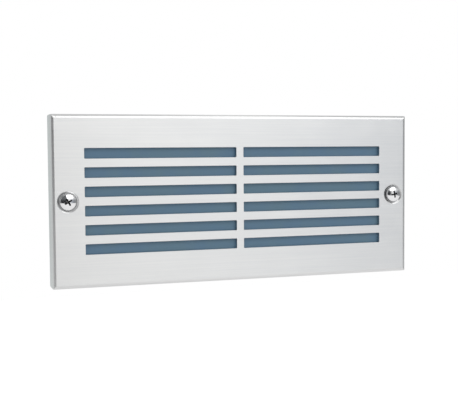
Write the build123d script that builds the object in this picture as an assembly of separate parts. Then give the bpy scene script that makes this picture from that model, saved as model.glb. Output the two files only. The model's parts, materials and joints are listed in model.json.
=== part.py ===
from build123d import *
import math
import os

# A recessed step light for a garden wall: a pressed stainless front cover with two columns of
# louvre slots, a frosted glass behind it, and a cast box that goes into the wall and holds a
# screw-in lamp. Millimetres. +X runs right along the wall, +Y goes into the wall, +Z is up.
# The origin is the centre of the wall's surface, where the cover's turned-back rim ends.

# Front cover, as seen from the front
PLATE_WIDTH = 240.0
PLATE_HEIGHT = 106.0
PLATE_DEPTH = 12.0  # from the front face back to the wall
SHEET = 1.5
FOLD_RADIUS = 2.4  # outside radius of the fold between face and rim
CORNER_RADIUS = 1.2  # the rim's corners, welded on a mitre and dressed
INSIDE_CORNER = 0.4
SLOT_ROWS = 6
SLOT_LENGTH = 97.4
SLOT_HEIGHT = 6.5
SLOT_PITCH = 11.7
SLOT_BAR = 4.7  # upright bar between the two columns
SLOT_CORNER = 0.5
SCREW_X = 110.0  # cover screws, at mid height

# Pressed seat round each cover screw
SEAT_RADIUS = 6.7
SEAT_FLOOR = 5.3
SEAT_DEPTH = 0.8
SEAT_EDGE_BLEND = 0.5
SEAT_HOLE_RADIUS = 2.75

# Glass, its gasket and its clips
GLASS_WIDTH = 205.6
GLASS_HEIGHT = 73.0
GLASS_THICKNESS = 4.0
GLASS_CORNER = 4.0
LIP = 1.0
LIP_OVERLAP = 2.5
GASKET_WALL = 1.7
SHOULDER_LENGTH = 190.0
SHOULDER_HALF_HEIGHT = 41.2
SHOULDER_DEPTH = 4.4
CLIP_SHEET = 0.8
CLIP_WIDTH = 12.0
CLIP_XS = (-72.0, 0.0, 72.0)
CLIP_FOOT = 49.0
CLIP_CLEARANCE = 0.2
CLIP_HOOK = 2.4

# Cast recess box
FLANGE_WIDTH = 232.0
FLANGE_HEIGHT = 98.0
FLANGE_THICKNESS = 3.0
FLANGE_CORNER = 8.0
WALL_GASKET = 1.5
WALL_GASKET_INSET = 0.5
WALL_WINDOW_WIDTH = 214.0
WALL_WINDOW_HEIGHT = 86.0
BOX_WIDTH = 210.0
BOX_HEIGHT = 75.0
BOX_CORNER = 9.5
BOX_BACK = 88.0
BOX_BACK_FILLET = 3.0
BACK_WALL = 3.0
CAVITY_WIDTH = 203.4
CAVITY_HEIGHT = 68.0
CAVITY_CORNER = 6.5
CAVITY_BACK_FILLET = 2.5
DRAFT = 0.8  # degrees, so that the casting leaves its die
PILLAR_RADIUS = 4.6
PILLAR_ROOT_RADIUS = 5.2
TAP_CLEARANCE = 0.05
FIXING_X = 94.0
FIXING_Z = 26.0
FIXING_RADIUS = 2.5
FIXING_BOSS_RADIUS = 5.0
FIXING_BOSS_ROOT = 5.5
FIXING_BOSS_HEIGHT = 3.0
TAP_END = 1.5  # a blind hole in the back wall stops this far from the outside
GUSSET_XS = (-78.0, -26.0, 26.0, 78.0)
GUSSET_THICKNESS = 3.0
GUSSET_REACH = 4.0
GUSSET_LENGTH = 12.0

# Cover screws: M5 pan heads on sealing washers
M5 = 2.5
M4 = 2.0
M3 = 1.5
M5_LENGTH = 10.0
PAN_RADIUS = 4.9
PAN_HEIGHT = 2.7
LEFT_TURN = -30.0  # degrees that each recess stands at when its screw is tight
RIGHT_TURN = -11.0
WASHER_THICKNESS = 0.8
SEATING_GAP = 0.02

# Lamp and lampholder, both on one axis along X
LAMP_Y = 46.0
LAMP_TIP_X = 33.0  # the lamp's end contact
BULB_RADIUS = 27.5
LAMP_LENGTH = 98.0
NECK_RADIUS = 12.6
NECK_START_X = 0.0
NECK_END_X = 8.0
BULB_SKIN = 0.8
CAP_RIM_X = 4.0
THREAD_START_X = 9.5
THREAD_PITCH = 3.62
THREAD_TURNS = 4
THREAD_CREST = 13.2
THREAD_ROOT = 12.3
CAP_SHEET = 0.4
SHELL_GAP = 0.45
SHELL_SHEET = 0.5
HOLDER_MOUTH_X = 3.0
HOLDER_BACK_X = 51.0
HOLDER_BORE = 14.45
HOLDER_BASE_RADIUS = 20.5
HOLDER_BASE_X = 40.0
HOLDER_WAIST_RADIUS = 17.5
HOLDER_COLLAR_RADIUS = 19.0
HOLDER_LEDGE_X = 31.0  # where the shell's floor rests
HOLDER_FLOOR_X = 36.5
CONTACT_WELL_RADIUS = 10.0
TERMINAL_Z = 14.0
BRACKET_SHEET = 1.5
BRACKET_WIDTH = 22.0
BRACKET_SCREW_X = 40.0
BRACKET_SCREW_Z = 6.0
BRACKET_BOSS_RADIUS = 4.0
BRACKET_TOP_RADIUS = 6.0
BRACKET_BEND_RADIUS = 2.5
FOOT_Y = 83.0
HOLDER_SCREW_OFFSET = 9.0

# Mains terminal strip on the back wall
STRIP_X = 79.0
STRIP_LENGTH = 16.0
STRIP_END = 4.0  # from an outer pole to the strip's end
STRIP_BASE_Y = 83.0
STRIP_HEIGHT = 13.0
POLE_PITCH = 8.0
POLE_ZS = (15.0 - POLE_PITCH, 15.0, 15.0 + POLE_PITCH)
POLE_Y = 77.5
WELL_OFFSET = 3.4

# Wires
WIRE_RADIUS = 1.2
WIRE_BEND = 8.0
WIRE_TURN_X = 60.0

# Earth point on the back wall
EARTH_X = 60.0
EARTH_Z = -22.0
EARTH_BOSS_Y = 81.0
EARTH_BOSS_RADIUS = 4.5
RING_SHEET = 0.8
SPRING_WASHER = 0.6
BARREL_RADIUS = 1.9
BARREL_Y = EARTH_BOSS_Y - BARREL_RADIUS

# Cable gland through the back wall
GLAND_X = 76.0
GLAND_Z = -14.0
GLAND_THREAD = 10.0
GLAND_TUBE = 9.0
GLAND_TUBE_LENGTH = 9.0
GLAND_HEX_LENGTH = 5.0
ENTRY_WASHER = 1.5
GLAND_HEX = 13.86  # corner radius of a 24 mm spanner size
CABLE_RADIUS = 4.5
BOSS_RADIUS = 14.5
GLAND_BOSS_Y = 92.0

# Blanked second entry in the right end wall
PLUG_Y = 40.0
PLUG_BOSS_X = 107.5
PLUG_RADIUS = 12.0
PLUG_WASHER = 1.2
PLUG_HEAD = 2.8

Y_FRONT = -PLATE_DEPTH
Y_INSIDE = Y_FRONT + SHEET
Y_GLASS = Y_INSIDE + LIP
Y_GLASS_BACK = Y_GLASS + GLASS_THICKNESS
Y_FLANGE_BACK = -WALL_GASKET
Y_FLANGE = Y_FLANGE_BACK - FLANGE_THICKNESS
Y_CAVITY_BACK = BOX_BACK - BACK_WALL
Y_SEAT = Y_FRONT + SEAT_DEPTH
Y_SEAT_BACK = Y_SEAT + SHEET
Y_PILLAR = Y_SEAT_BACK + SEATING_GAP
BACKWARD = Plane(origin=(0, 0, 0), x_dir=(-1, 0, 0), z_dir=(0, 1, 0))


def prism(outline, y_near, y_far, taper=0.0):
    """A solid with this front-view outline, running back from y_near to y_far."""
    return Pos(0, y_near, 0) * extrude(BACKWARD * outline, amount=y_far - y_near, taper=taper)


def post(radius, y_near, y_far, x=0.0, z=0.0, far_radius=None):
    """A round post along Y, straight or tapered to far_radius."""
    length = y_far - y_near
    shape = Cylinder(radius, length) if far_radius is None else Cone(radius, far_radius, length)
    return Pos(x, (y_near + y_far) / 2, z) * Rot(-90, 0, 0) * shape


def rod(radius, x_near, x_far, y=0.0, z=0.0):
    """A round rod along X."""
    return Pos((x_near + x_far) / 2, y, z) * Rot(0, 90, 0) * Cylinder(radius, x_far - x_near)


def block(x_near, x_far, y_near, y_far, z_low, z_high):
    """A plain block between two corners."""
    middle = Pos((x_near + x_far) / 2, (y_near + y_far) / 2, (z_low + z_high) / 2)
    return middle * Box(x_far - x_near, y_far - y_near, z_high - z_low)


def turned_on_y(points, x=0.0, z=0.0):
    """A solid turned about an axis along Y from its (radius, y) profile."""
    profile = make_face(Polyline(*points, close=True))
    return Pos(x, 0, z) * revolve(profile, Axis.Y)


def turned_on_x(profile, y=0.0, z=0.0):
    """A solid turned about an axis along X from a face drawn as (radius, x)."""
    return Pos(0, y, z) * Rot(0, 0, -90) * revolve(profile, Axis.Y)


def outline_face(points):
    return make_face(Polyline(*points, close=True))


def tray(width, height, corner, fold, y_near, y_far):
    """A block whose four front edges are folds that meet on mitres at its corners."""
    solid = prism(RectangleRounded(width, height, corner), y_near, y_far)
    sides = Pos(0, (y_near + y_far) / 2, 0) * Box(width, y_far - y_near, height)
    ends = sides.edges().filter_by(Axis.Z).group_by(Axis.Y)[0]
    long_edges = sides.edges().filter_by(Axis.X).group_by(Axis.Y)[0]
    return solid & fillet(ends, fold) & fillet(long_edges, fold)


def pan_screw(radius, length, head_radius, head_height, recess):
    """A pan-head screw along Y: its head's underside is at y = 0 and its shank runs back."""
    crown = 2.0 * head_radius
    drop = crown - math.sqrt(crown**2 - head_radius**2)
    half_drop = crown - math.sqrt(crown**2 - head_radius**2 / 4)
    edge = (head_radius, drop - head_height)
    outline = Polyline(
        (0, -head_height),
        (0, length),
        (radius - 0.3, length),
        (radius, length - 0.3),
        (radius, 0),
        (head_radius, 0),
        edge,
    )
    dome = ThreePointArc(edge, (head_radius / 2, half_drop - head_height), (0, -head_height))
    solid = revolve(make_face(outline.edges() + [dome]), Axis.Y)
    shoulder = solid.edges().filter_by(GeomType.CIRCLE)
    shoulder = shoulder.filter_by(lambda e: abs(e.center().Y - edge[1]) < 1e-4)
    solid = fillet(shoulder, 0.42 * (head_height - drop))
    if recess == "cross":
        return solid - cross_recess(head_radius, head_height)
    return solid - Pos(0, -head_height, 0) * Box(head_radius * 3, head_height * 0.9, 0.8)


def cross_recess(head_radius, head_height):
    """The driver recess: four wings whose ends slope in steeply, over a pointed bottom."""
    mouth = 0.54 * head_radius
    heel = 0.28 * head_radius
    wing = 0.22 * head_radius
    heel_depth = 0.7 * head_height
    point_depth = 1.1 * head_height
    above = 0.3 * head_height
    flare = above * (mouth - heel) / heel_depth
    outline = [
        (0, -head_height - above),
        (mouth + flare, -head_height - above),
        (heel, heel_depth - head_height),
        (0, point_depth - head_height),
    ]
    cross = Box(3 * mouth, 4 * head_height, wing) + Box(wing, 4 * head_height, 3 * mouth)
    return cross & turned_on_y(outline)


def ring_washer(outer, inner, y_near, y_far, x, z):
    return post(outer, y_near, y_far, x, z) - post(inner, y_near - 1, y_far + 1, x, z)


# Front cover


def faceplate():
    """The folded tray: face, turned-back rim, louvre slots and two dished screw seats."""
    shell = tray(PLATE_WIDTH, PLATE_HEIGHT, CORNER_RADIUS, FOLD_RADIUS, Y_FRONT, 0)
    hollow = tray(
        PLATE_WIDTH - 2 * SHEET,
        PLATE_HEIGHT - 2 * SHEET,
        INSIDE_CORNER,
        FOLD_RADIUS - SHEET,
        Y_INSIDE,
        1,
    )
    plate = shell - hollow
    slot = prism(RectangleRounded(SLOT_LENGTH, SLOT_HEIGHT, SLOT_CORNER), Y_FRONT - 1, Y_INSIDE + 1)
    column_x = (SLOT_LENGTH + SLOT_BAR) / 2
    for row in range(SLOT_ROWS):
        z = (row - (SLOT_ROWS - 1) / 2) * SLOT_PITCH
        for x in (-column_x, column_x):
            plate -= Pos(x, 0, z) * slot
    for x in (-SCREW_X, SCREW_X):
        plate = with_screw_seat(plate, x)
    return plate


def with_screw_seat(plate, x):
    """The plate with one dished seat: the front is pressed in and the back stands out."""
    run = SEAT_RADIUS - SEAT_FLOOR
    back = SEAT_FLOOR + SHEET * math.tan(math.atan2(SEAT_DEPTH, run) / 2)
    plate += post(back + run, Y_INSIDE, Y_SEAT_BACK, x, 0, back)
    plate -= post(SEAT_RADIUS, Y_FRONT, Y_SEAT, x, 0, SEAT_FLOOR)
    rim = plate.edges().filter_by(GeomType.CIRCLE)
    rim = rim.filter_by(lambda e: abs(e.radius - SEAT_RADIUS) < 1e-3 and e.center().X * x > 0)
    plate = fillet(rim, SEAT_EDGE_BLEND)
    return plate - post(SEAT_HOLE_RADIUS, Y_FRONT - 1, Y_SEAT_BACK + 1, x, 0)


def diffuser():
    """The frosted glass pane, with its edges arrised."""
    pane = prism(RectangleRounded(GLASS_WIDTH, GLASS_HEIGHT, GLASS_CORNER), Y_GLASS, Y_GLASS_BACK)
    faces = pane.faces().sort_by(Axis.Y)
    return chamfer(faces[0].edges() + faces[-1].edges(), 0.4)


def diffuser_gasket():
    """A rubber channel round the glass, with a shoulder above and below for the clips."""
    y_back = Y_GLASS_BACK + LIP - SEATING_GAP
    width = GLASS_WIDTH + 2 * GASKET_WALL
    height = GLASS_HEIGHT + 2 * GASKET_WALL
    ring = prism(RectangleRounded(width, height, GLASS_CORNER + GASKET_WALL), Y_INSIDE, y_back)
    shoulder = RectangleRounded(SHOULDER_LENGTH, 2 * SHOULDER_HALF_HEIGHT, 2)
    ring += prism(shoulder, Y_INSIDE, Y_INSIDE + SHOULDER_DEPTH)
    ring -= prism(RectangleRounded(GLASS_WIDTH, GLASS_HEIGHT, GLASS_CORNER), Y_GLASS, Y_GLASS_BACK)
    window = RectangleRounded(GLASS_WIDTH - 2 * LIP_OVERLAP, GLASS_HEIGHT - 2 * LIP_OVERLAP, 3)
    ring -= prism(window, Y_INSIDE - 1, y_back + 1)
    for x in (-SCREW_X, SCREW_X):
        ring -= post(SEAT_RADIUS + 0.8, Y_INSIDE - 1, Y_GLASS, x)
    return ring


def glass_clips():
    """Six spring clips, welded behind the face, that hook over the gasket's shoulders."""
    y_hook = Y_INSIDE + SHOULDER_DEPTH
    riser = SHOULDER_HALF_HEIGHT + CLIP_CLEARANCE
    hook = SHOULDER_HALF_HEIGHT - CLIP_HOOK
    outline = [
        (Y_INSIDE, CLIP_FOOT),
        (Y_INSIDE, riser),
        (y_hook, riser),
        (y_hook, hook),
        (y_hook + CLIP_SHEET, hook),
        (y_hook + CLIP_SHEET, riser + CLIP_SHEET),
        (Y_INSIDE + CLIP_SHEET, riser + CLIP_SHEET),
        (Y_INSIDE + CLIP_SHEET, CLIP_FOOT),
    ]
    profile = Plane.YZ * outline_face(outline)
    clip = Pos(-CLIP_WIDTH / 2, 0, 0) * extrude(profile, amount=CLIP_WIDTH, dir=(1, 0, 0))
    clips = []
    for x in CLIP_XS:
        upper = Pos(x, 0, 0) * clip
        clips += [upper, mirror(upper, about=Plane.XY)]
    return Compound(clips)


def cover_screw(x):
    """A cover screw, head on its washer and tip in the box's tapped pillar."""
    y_head = Y_SEAT - WASHER_THICKNESS - 2 * SEATING_GAP
    turn = LEFT_TURN if x < 0 else RIGHT_TURN
    screw = pan_screw(M5, M5_LENGTH, PAN_RADIUS, PAN_HEIGHT, "cross")
    return Pos(x, y_head, 0) * Rot(0, turn, 0) * screw


def cover_washer(x):
    y_near = Y_SEAT - WASHER_THICKNESS - SEATING_GAP
    return ring_washer(PAN_RADIUS + 0.1, M5 + 0.1, y_near, Y_SEAT - SEATING_GAP, x, 0)


# Recess box


def box_shell():
    """The cast box without its holes: flange, drafted walls, pillars, gussets and bosses."""
    flange = RectangleRounded(FLANGE_WIDTH, FLANGE_HEIGHT, FLANGE_CORNER)
    shell = prism(flange, Y_FLANGE, Y_FLANGE_BACK)
    body = prism(RectangleRounded(BOX_WIDTH, BOX_HEIGHT, BOX_CORNER), Y_FLANGE_BACK, BOX_BACK, DRAFT)
    shell += fillet(body.faces().sort_by(Axis.Y)[-1].edges(), BOX_BACK_FILLET)
    for x in (-SCREW_X, SCREW_X):
        shell += post(PILLAR_RADIUS, Y_PILLAR, Y_FLANGE, x, 0, PILLAR_ROOT_RADIUS)
    for x in GUSSET_XS:
        shell += gusset(x) + mirror(gusset(x), about=Plane.XY)
    shell += post(BOSS_RADIUS, BOX_BACK - 1, GLAND_BOSS_Y, GLAND_X, GLAND_Z)
    shell += rod(BOSS_RADIUS, BOX_WIDTH / 2 - 4, PLUG_BOSS_X, PLUG_Y)
    cavity = RectangleRounded(CAVITY_WIDTH, CAVITY_HEIGHT, CAVITY_CORNER)
    hollow = prism(cavity, Y_FLANGE, Y_CAVITY_BACK, DRAFT)
    shell -= fillet(hollow.faces().sort_by(Axis.Y)[-1].edges(), CAVITY_BACK_FILLET)
    return shell


def gusset(x):
    """A web between the flange's back and the top wall."""
    root = BOX_HEIGHT / 2 - 1
    outline = [
        (Y_FLANGE_BACK, root),
        (Y_FLANGE_BACK, BOX_HEIGHT / 2 + GUSSET_REACH),
        (Y_FLANGE_BACK + 2, BOX_HEIGHT / 2 + GUSSET_REACH),
        (Y_FLANGE_BACK + GUSSET_LENGTH, root),
    ]
    web = extrude(Plane.YZ * outline_face(outline), amount=GUSSET_THICKNESS, dir=(1, 0, 0))
    return Pos(x - GUSSET_THICKNESS / 2, 0, 0) * web


def housing():
    """The cast box with its inner bosses, tapped holes, wall fixings and cable entries."""
    shell = box_shell()
    inside = Y_CAVITY_BACK + 1
    for x in (-FIXING_X, FIXING_X):
        for z in (-FIXING_Z, FIXING_Z):
            boss_y = Y_CAVITY_BACK - FIXING_BOSS_HEIGHT
            shell += post(FIXING_BOSS_RADIUS, boss_y, inside, x, z, FIXING_BOSS_ROOT)
            shell -= post(FIXING_RADIUS, boss_y - 1, BOX_BACK + 1, x, z)
    for z in (-BRACKET_SCREW_Z, BRACKET_SCREW_Z):
        shell += post(BRACKET_BOSS_RADIUS, FOOT_Y, inside, BRACKET_SCREW_X, z)
        shell -= post(M4 + TAP_CLEARANCE, FOOT_Y - 1, BOX_BACK - TAP_END, BRACKET_SCREW_X, z)
    strip_half = STRIP_LENGTH / 2
    strip_low, strip_high = POLE_ZS[0] - STRIP_END, POLE_ZS[2] + STRIP_END
    shell += block(
        STRIP_X - strip_half, STRIP_X + strip_half, STRIP_BASE_Y, inside, strip_low, strip_high
    )
    for z in strip_screw_zs():
        shell -= post(M3 + TAP_CLEARANCE, STRIP_BASE_Y - 1, BOX_BACK - TAP_END, STRIP_X, z)
    shell += post(EARTH_BOSS_RADIUS, EARTH_BOSS_Y, inside, EARTH_X, EARTH_Z)
    shell -= post(M4 + TAP_CLEARANCE, EARTH_BOSS_Y - 1, BOX_BACK - TAP_END, EARTH_X, EARTH_Z)
    shell -= post(GLAND_THREAD, Y_CAVITY_BACK - 5, GLAND_BOSS_Y + 1, GLAND_X, GLAND_Z)
    shell -= rod(GLAND_THREAD, BOX_WIDTH / 2 - 8, PLUG_BOSS_X + 1, PLUG_Y)
    for x in (-SCREW_X, SCREW_X):
        shell -= post(M5 + TAP_CLEARANCE, Y_PILLAR - 1, Y_FLANGE_BACK + 1, x)
    return shell


def wall_gasket():
    """The foam frame between the flange and the wall."""
    width = FLANGE_WIDTH - 2 * WALL_GASKET_INSET
    height = FLANGE_HEIGHT - 2 * WALL_GASKET_INSET
    corner = FLANGE_CORNER - WALL_GASKET_INSET
    frame = prism(RectangleRounded(width, height, corner), Y_FLANGE_BACK, 0)
    window = RectangleRounded(WALL_WINDOW_WIDTH, WALL_WINDOW_HEIGHT, 5)
    return frame - prism(window, Y_FLANGE_BACK - 1, 1)


# Lampholder and lamp


def thread_points(shift):
    """The rolled lamp thread as (radius, x) points, moved outwards by shift."""
    points = []
    for step in range(2 * THREAD_TURNS + 1):
        radius = THREAD_ROOT if step % 2 == 0 else THREAD_CREST
        points.append((radius + shift, THREAD_START_X + step * THREAD_PITCH / 2))
    return points


def lampholder_body():
    """The porcelain: collar, waist and base, a bore for the shell and two terminal pockets."""
    outline = [
        (0, HOLDER_BACK_X),
        (HOLDER_BASE_RADIUS - 0.5, HOLDER_BACK_X),
        (HOLDER_BASE_RADIUS, HOLDER_BACK_X - 1),
        (HOLDER_BASE_RADIUS, HOLDER_BASE_X),
        (HOLDER_WAIST_RADIUS + 0.5, HOLDER_BASE_X - 4),
        (HOLDER_WAIST_RADIUS, HOLDER_MOUTH_X + 9),
        (HOLDER_COLLAR_RADIUS, HOLDER_MOUTH_X + 6),
        (HOLDER_COLLAR_RADIUS, HOLDER_MOUTH_X + 1.5),
        (HOLDER_COLLAR_RADIUS - 1.2, HOLDER_MOUTH_X),
        (HOLDER_BORE + 0.6, HOLDER_MOUTH_X),
        (HOLDER_BORE, HOLDER_MOUTH_X + 1.2),
        (HOLDER_BORE, HOLDER_LEDGE_X),
        (CONTACT_WELL_RADIUS, HOLDER_LEDGE_X),
        (CONTACT_WELL_RADIUS, HOLDER_FLOOR_X),
        (0, HOLDER_FLOOR_X),
    ]
    body = turned_on_x(outline_face(outline), LAMP_Y)
    for z in (-TERMINAL_Z, TERMINAL_Z):
        body -= block(41.5, HOLDER_BACK_X + 1, LAMP_Y - 3.5, LAMP_Y + 3.5, z - 3.5, z + 3.5)
        driver = Pos(45, LAMP_Y, z * 1.4) * Cylinder(2.4, 10)
        body -= driver
    for y in (LAMP_Y - HOLDER_SCREW_OFFSET, LAMP_Y + HOLDER_SCREW_OFFSET):
        body -= rod(M3 + TAP_CLEARANCE, HOLDER_BACK_X - 8, HOLDER_BACK_X + 1, y)
    return body


def lampholder_shell():
    """The rolled brass shell that the lamp screws into."""
    inside = THREAD_ROOT + SHELL_GAP
    mouth = THREAD_CREST + SHELL_GAP
    near = HOLDER_MOUTH_X + 2
    floor = HOLDER_LEDGE_X - SHELL_SHEET
    window = CONTACT_WELL_RADIUS + 0.5
    inner = [(mouth, near), (mouth, THREAD_START_X - 1.2)] + thread_points(SHELL_GAP)
    inner += [(inside, floor), (window, floor)]
    inner += [(window, HOLDER_LEDGE_X), (inside + SHELL_SHEET, HOLDER_LEDGE_X)]
    outer = list(reversed(thread_points(SHELL_GAP + SHELL_SHEET)))
    outer += [(mouth + SHELL_SHEET, THREAD_START_X - 1.2), (mouth + SHELL_SHEET, near)]
    return turned_on_x(outline_face(inner + outer), LAMP_Y)


def lampholder_contact():
    """The sprung centre tongue, folded up from the floor of the holder."""
    outline = [
        (HOLDER_FLOOR_X, -8),
        (HOLDER_FLOOR_X, 3),
        (HOLDER_FLOOR_X - SHELL_SHEET, 3),
        (HOLDER_FLOOR_X - SHELL_SHEET, -3),
        (33.6, 1.5),
        (33.6, 5),
        (33.1, 5),
        (33.1, 1.4),
        (35.5, -4),
        (HOLDER_FLOOR_X - SHELL_SHEET, -8),
    ]
    strip = extrude(Plane.XZ * outline_face(outline), amount=6)
    return Pos(0, LAMP_Y + 3, 0) * strip


def lampholder_terminals():
    """Two brass pillar terminals in the holder's pockets."""
    pillars = []
    for z in (-TERMINAL_Z, TERMINAL_Z):
        pillar = block(41.8, 48.5, LAMP_Y - 3.2, LAMP_Y + 3.2, z - 3.2, z + 3.2)
        pillar -= rod(1.5, 41, 49, LAMP_Y, z)
        pillar -= Pos(45, LAMP_Y, z * 1.4) * Cylinder(1.3, 10)
        pillars.append(pillar)
    return Compound(pillars)


def grub(radius, length):
    """A slotted grub screw along Z, its slot at the top."""
    screw = Pos(0, 0, length / 2) * Cylinder(radius, length)
    return screw - Pos(0, 0, length) * Box(3 * radius, 0.5, 1.2)


def lampholder_terminal_screws():
    screws = []
    for side in (-1, 1):
        screw = Pos(45, LAMP_Y, TERMINAL_Z + WIRE_RADIUS + 0.05) * grub(1.25, 3.2)
        screws.append(screw if side > 0 else mirror(screw, about=Plane.XY))
    return Compound(screws)


def lampholder_bracket():
    """The folded steel angle that stands the lampholder off the back wall."""
    half = BRACKET_WIDTH / 2
    top = LAMP_Y - 15
    toe = BRACKET_SCREW_X - 7
    heel = HOLDER_BACK_X + BRACKET_SHEET
    outline = [
        (HOLDER_BACK_X, top),
        (heel, top),
        (heel, FOOT_Y),
        (toe, FOOT_Y),
        (toe, FOOT_Y - BRACKET_SHEET),
        (HOLDER_BACK_X, FOOT_Y - BRACKET_SHEET),
    ]
    angle = Pos(0, 0, -half) * extrude(outline_face(outline), amount=BRACKET_WIDTH)
    bend = angle.edges().filter_by(Axis.Z)
    outer = bend.filter_by(lambda e: abs(e.center().X - heel) < 0.01 and e.center().Y > LAMP_Y)
    angle = fillet(outer, BRACKET_BEND_RADIUS)
    bend = angle.edges().filter_by(Axis.Z).sort_by_distance((HOLDER_BACK_X, FOOT_Y - BRACKET_SHEET, 0))
    angle = fillet(bend[0], BRACKET_BEND_RADIUS - BRACKET_SHEET)
    ends = angle.edges().filter_by(Axis.X).filter_by(lambda e: e.center().Y < top + 0.01)
    angle = fillet(ends, BRACKET_TOP_RADIUS)
    for y in (LAMP_Y - HOLDER_SCREW_OFFSET, LAMP_Y + HOLDER_SCREW_OFFSET):
        angle -= rod(1.7, HOLDER_BACK_X - 1, heel + 1, y)
    for z in (-BRACKET_SCREW_Z, BRACKET_SCREW_Z):
        angle -= post(2.15, FOOT_Y - 3, FOOT_Y + 1, BRACKET_SCREW_X, z)
    return angle


def bracket_screws():
    screw = pan_screw(M4, 5.0, 3.6, 2.3, "cross")
    places = [(BRACKET_SCREW_X, FOOT_Y - BRACKET_SHEET, z) for z in (-BRACKET_SCREW_Z, BRACKET_SCREW_Z)]
    return Compound([Pos(*place) * screw for place in places])


def lampholder_screws():
    screw = Rot(0, 0, 90) * pan_screw(M3, 8.0, 2.7, 1.8, "cross")
    heel = HOLDER_BACK_X + BRACKET_SHEET
    places = [(heel, LAMP_Y + offset, 0) for offset in (-HOLDER_SCREW_OFFSET, HOLDER_SCREW_OFFSET)]
    return Compound([Pos(*place) * screw for place in places])


def bulb_edges(skin):
    """Ball and neck of the lamp as tangent arcs and a line, from the ball's tip, drawn in by skin."""
    ball_x = LAMP_TIP_X - LAMP_LENGTH + BULB_RADIUS
    reach = NECK_START_X - ball_x
    swell = (reach**2 + NECK_RADIUS**2 - BULB_RADIUS**2) / (2 * (BULB_RADIUS - NECK_RADIUS))
    span = BULB_RADIUS + swell
    toward = (reach / span, (NECK_RADIUS + swell) / span)
    ball = BULB_RADIUS - skin
    tip = (0, ball_x - ball)
    join = (ball * toward[1], ball_x + ball * toward[0])
    neck = (NECK_RADIUS - skin, NECK_START_X)
    centre = (NECK_RADIUS + swell, NECK_START_X)
    half_turn = math.atan2(toward[0], toward[1]) / 2
    middle = (
        centre[0] - (swell + skin) * math.cos(half_turn),
        centre[1] - (swell + skin) * math.sin(half_turn),
    )
    return [
        ThreePointArc(tip, (ball, ball_x), join),
        ThreePointArc(join, middle, neck),
        Line(neck, (NECK_RADIUS - skin, NECK_END_X)),
    ]


def lamp_bulb():
    """The opal glass envelope, a thin shell open where the cap is cemented on."""
    outer = bulb_edges(0)
    inner = bulb_edges(BULB_SKIN)
    tips = Line(outer[0] @ 0, inner[0] @ 0)
    ends = Line(outer[-1] @ 1, inner[-1] @ 1)
    return turned_on_x(make_face(outer + inner + [tips, ends]), LAMP_Y)


def lamp_cap():
    """The lamp's rolled screw cap."""
    thread_end = THREAD_START_X + THREAD_TURNS * THREAD_PITCH
    outer = [(THREAD_CREST, CAP_RIM_X), (THREAD_CREST, THREAD_START_X - 1.2)]
    outer += thread_points(0) + [(8.6, thread_end + 4.2)]
    inner = [(8.2, thread_end + 4.0)] + list(reversed(thread_points(-CAP_SHEET)))
    inner += [(THREAD_CREST - CAP_SHEET, THREAD_START_X - 1.2), (THREAD_CREST - CAP_SHEET, CAP_RIM_X)]
    return turned_on_x(outline_face(outer + inner), LAMP_Y)


def lamp_insulator():
    """The black glass button between cap and end contact."""
    start = THREAD_START_X + THREAD_TURNS * THREAD_PITCH + 4.2
    outline = [(0, start), (8.6, start), (7.6, start + 1.6), (4.6, LAMP_TIP_X - 1.4), (0, LAMP_TIP_X - 1.4)]
    return turned_on_x(outline_face(outline), LAMP_Y)


def lamp_contact():
    near = LAMP_TIP_X - 1.4
    outline = [(0, near), (4.5, near), (4.2, near + 0.8), (3.0, LAMP_TIP_X), (0, LAMP_TIP_X)]
    return turned_on_x(outline_face(outline), LAMP_Y)


# Wiring


def strip_screw_zs():
    """The strip's fixing screws go between its poles."""
    return [(POLE_ZS[0] + POLE_ZS[1]) / 2, (POLE_ZS[1] + POLE_ZS[2]) / 2]


def terminal_block():
    """A three-pole strip: notched between poles, wells for the screws, bores for the inserts."""
    half = STRIP_LENGTH / 2
    y_top = STRIP_BASE_Y - STRIP_HEIGHT
    strip_low, strip_high = POLE_ZS[0] - STRIP_END, POLE_ZS[2] + STRIP_END
    strip = block(STRIP_X - half, STRIP_X + half, y_top, STRIP_BASE_Y, strip_low, strip_high)
    strip = fillet(strip.edges().filter_by(Axis.Z).group_by(Axis.Y)[0], 1.5)
    for z in strip_screw_zs():
        for x in (STRIP_X - half, STRIP_X + half):
            strip -= block(x - 4.5, x + 4.5, y_top - 1, STRIP_BASE_Y - 3, z - 0.7, z + 0.7)
        strip -= post(1.65, y_top - 1, STRIP_BASE_Y + 1, STRIP_X, z)
    for z in POLE_ZS:
        strip -= rod(2.55, STRIP_X - half - 1, STRIP_X + half + 1, POLE_Y, z)
        for x in (STRIP_X - WELL_OFFSET, STRIP_X + WELL_OFFSET):
            strip -= post(1.8, y_top - 1, POLE_Y, x, z)
    return strip


def terminal_inserts():
    """Brass tubes, one a pole, tapped for two screws."""
    tubes = []
    for z in POLE_ZS:
        tube = rod(2.5, STRIP_X - 6.5, STRIP_X + 6.5, POLE_Y, z)
        tube -= rod(1.6, STRIP_X - 7, STRIP_X + 7, POLE_Y, z)
        for x in (STRIP_X - WELL_OFFSET, STRIP_X + WELL_OFFSET):
            tube -= post(1.3, POLE_Y - 3, POLE_Y, x, z)
        tubes.append(tube)
    return Compound(tubes)


def terminal_screws():
    """Six clamping screws: those at the left stand on the wires, the others on the bore's far side."""
    screws = []
    for z in POLE_ZS:
        for x in (STRIP_X - WELL_OFFSET, STRIP_X + WELL_OFFSET):
            screw = Rot(90, 0, 0) * grub(1.25, 4.5)
            screws.append(Pos(x, POLE_Y - WIRE_RADIUS - 0.05, z) * screw)
    return Compound(screws)


def strip_screws():
    screw = pan_screw(M3, 16.0, 2.6, 1.8, "slot")
    y_head = STRIP_BASE_Y - STRIP_HEIGHT
    return Compound([Pos(STRIP_X, y_head, z) * screw for z in strip_screw_zs()])


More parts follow.
